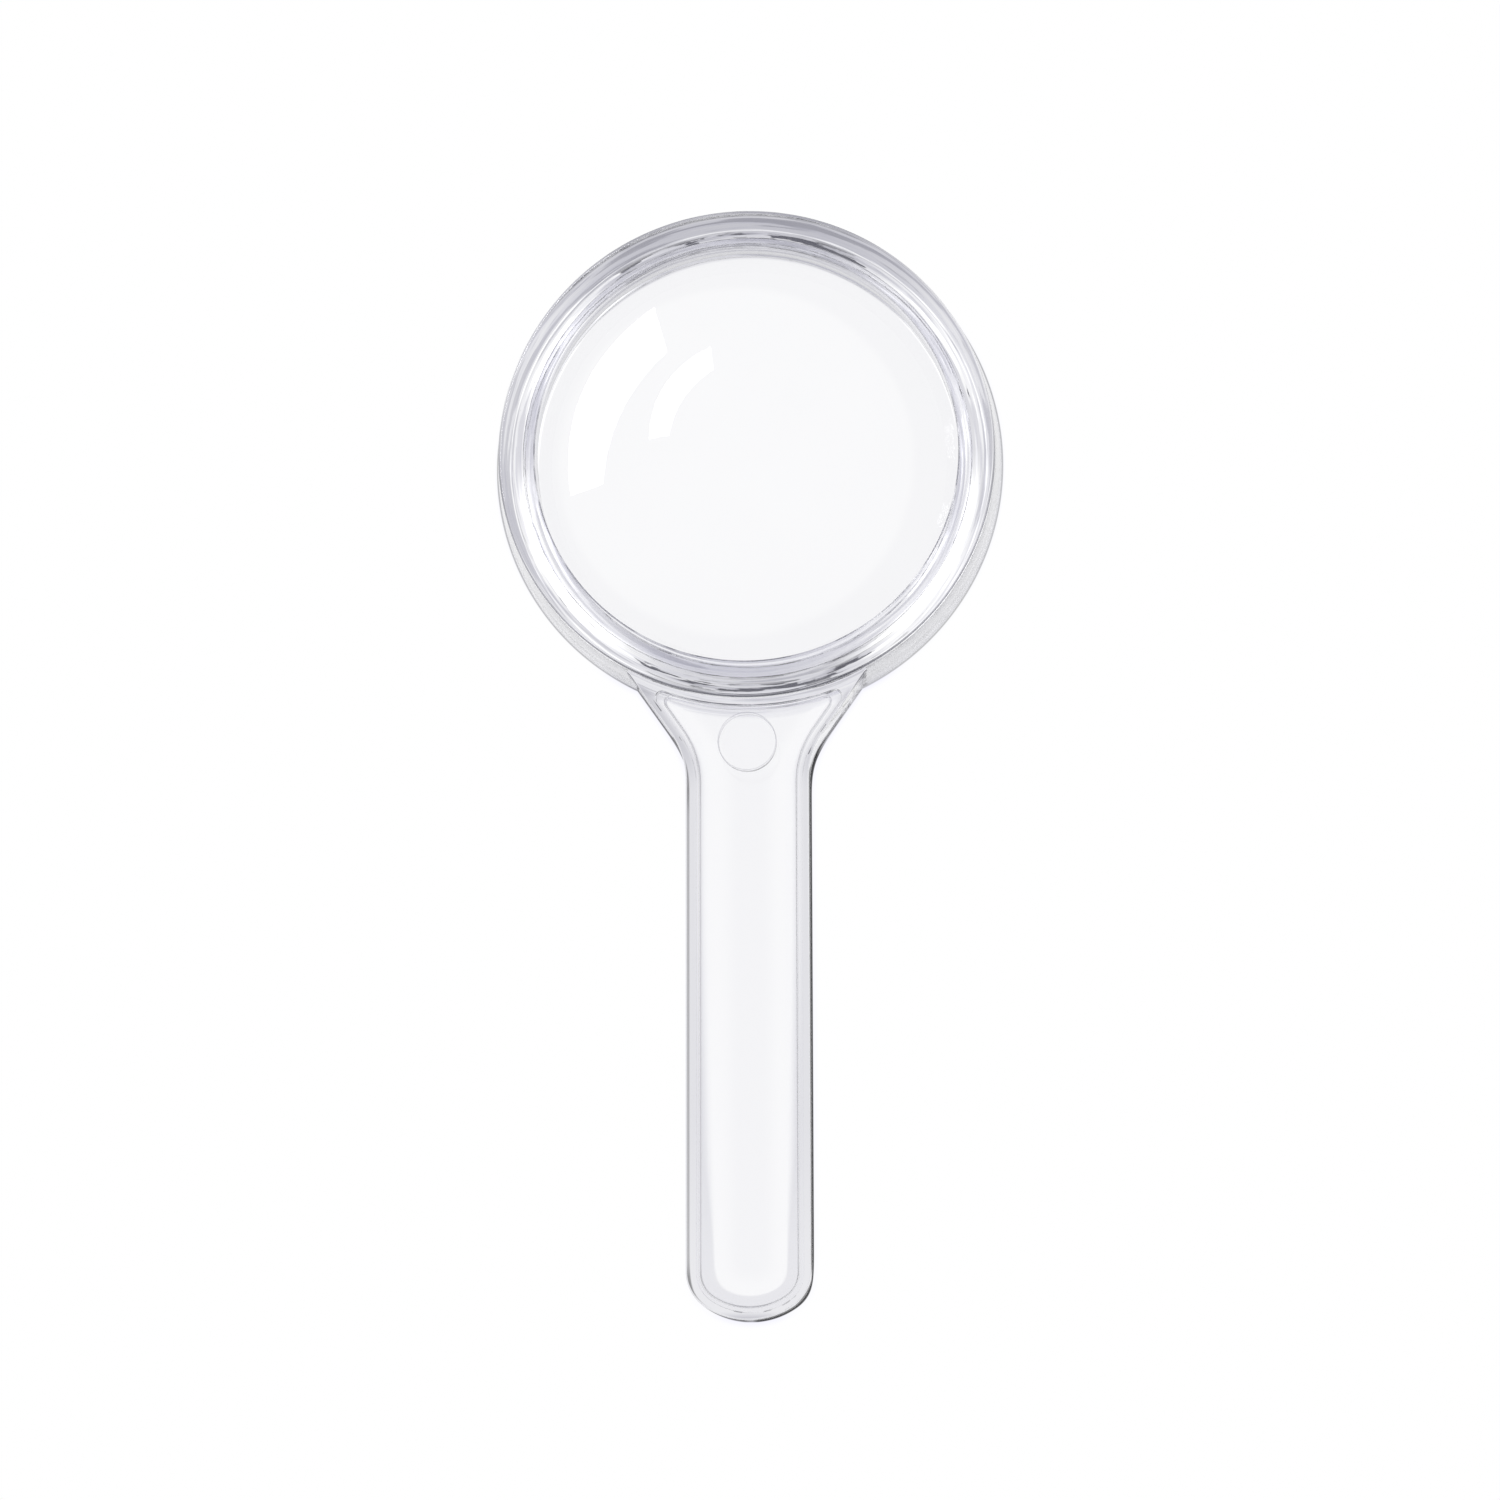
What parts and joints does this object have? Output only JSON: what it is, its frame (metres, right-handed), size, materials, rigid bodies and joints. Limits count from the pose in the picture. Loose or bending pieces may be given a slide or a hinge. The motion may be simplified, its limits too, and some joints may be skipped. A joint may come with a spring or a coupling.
{
  "type": "hand magnifier",
  "caption": "Clear plastic hand magnifier: a round ring head holds a biconvex lens, with a flared neck and a straight hollow handle with a rounded end.",
  "frame": {"origin": "middle of the magnifier's footprint, on the plane it rests on when it lies on its back", "axes": "+Z along the optical axis, out of the front of the lens; +Y from the handle towards the head; +X to the right seen from the front"},
  "size_m": [0.066, 0.1438, 0.0082],
  "materials": {
    "clear_frame": "clear moulded acrylic, polished, fine handling marks",
    "clear_lens": "clear moulded acrylic, optical polish",
    "clear_retainer": "clear moulded acrylic, polished",
    "clear_cover": "clear moulded acrylic, polished, bonded around its edge"
  },
  "bodies": {
    "root": {"frame_body": "clear_frame", "lens": "clear_lens", "retaining_ring": "clear_retainer", "handle_back_cover": "clear_cover"}
  },
  "joints": []
}
